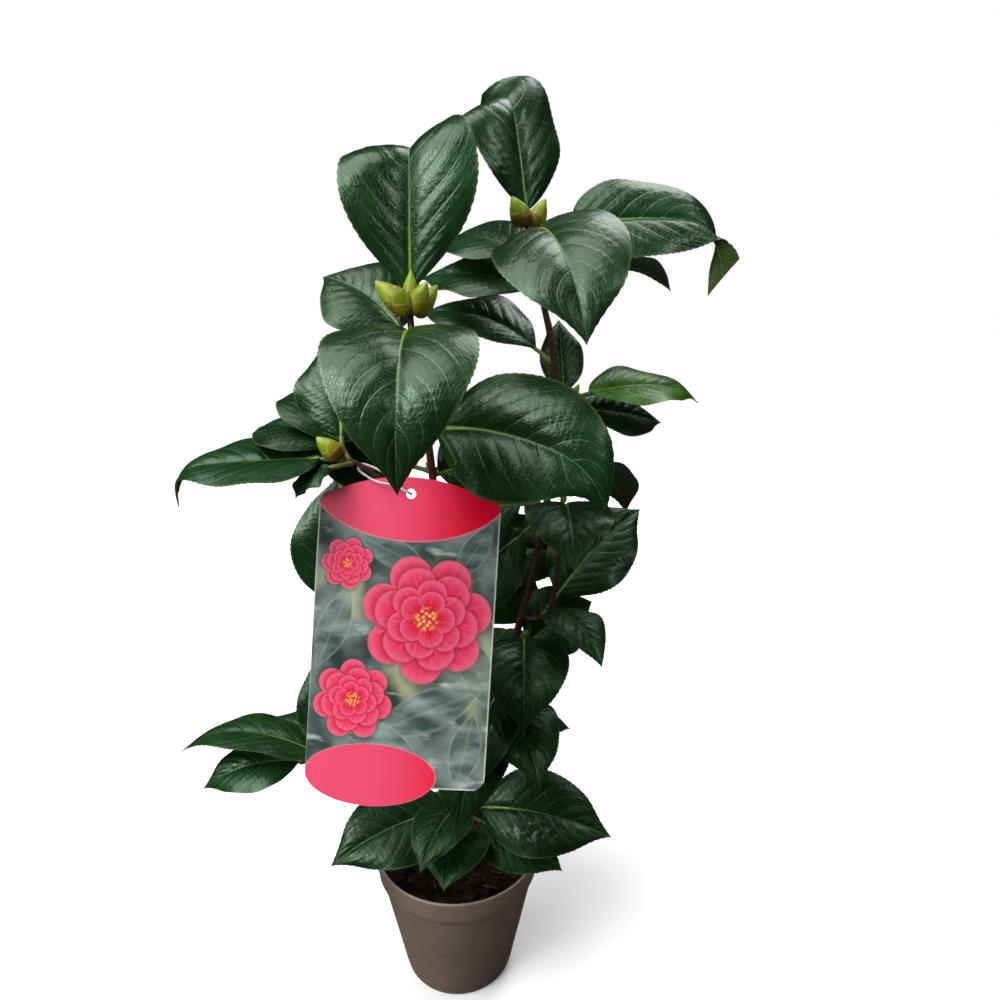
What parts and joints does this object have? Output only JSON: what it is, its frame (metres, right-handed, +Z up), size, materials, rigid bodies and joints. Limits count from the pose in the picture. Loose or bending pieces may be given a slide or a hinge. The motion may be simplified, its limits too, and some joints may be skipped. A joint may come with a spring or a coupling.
{
  "type": "potted camellia shrub",
  "caption": "Young evergreen camellia shrub with large glossy leaves and closed flower buds, in a round tapered nursery pot, with a picture label hanging from a shoot.",
  "frame": {"origin": "middle of the pot's flat underside", "axes": "+Z up along the plant's height, -Y towards the viewer's side with the label, +X to the right seen from there"},
  "size_m": [0.2671, 0.2261, 0.4655],
  "materials": {
    "pot": "satin taupe moulded plastic, lightly scuffed",
    "soil": "moist crumbly peat compost",
    "bark": "smooth reddish-brown young bark",
    "leaf": "glossy dark green, paler and duller beneath",
    "card": "glossy printed plastic card",
    "thread": "white synthetic thread"
  },
  "bodies": {
    "root": {"pot": "pot", "soil": "soil", "trunk": "bark", "bough_right": "bark", "bough_left": "bark", "bough_low": "bark", "foliage_left_crown": "leaf", "foliage_left_shoot": "leaf", "foliage_right_crown": "leaf", "foliage_right_upper": "leaf", "foliage_right_side": "leaf", "foliage_lower_right": "leaf", "foliage_lower_front": "leaf", "foliage_base": "leaf", "foliage_lower_left": "leaf", "foliage_left_side": "leaf", "foliage_back": "leaf", "foliage_back_left": "leaf", "foliage_back_low": "leaf", "label": "card", "label_loop": "thread"}
  },
  "joints": []
}
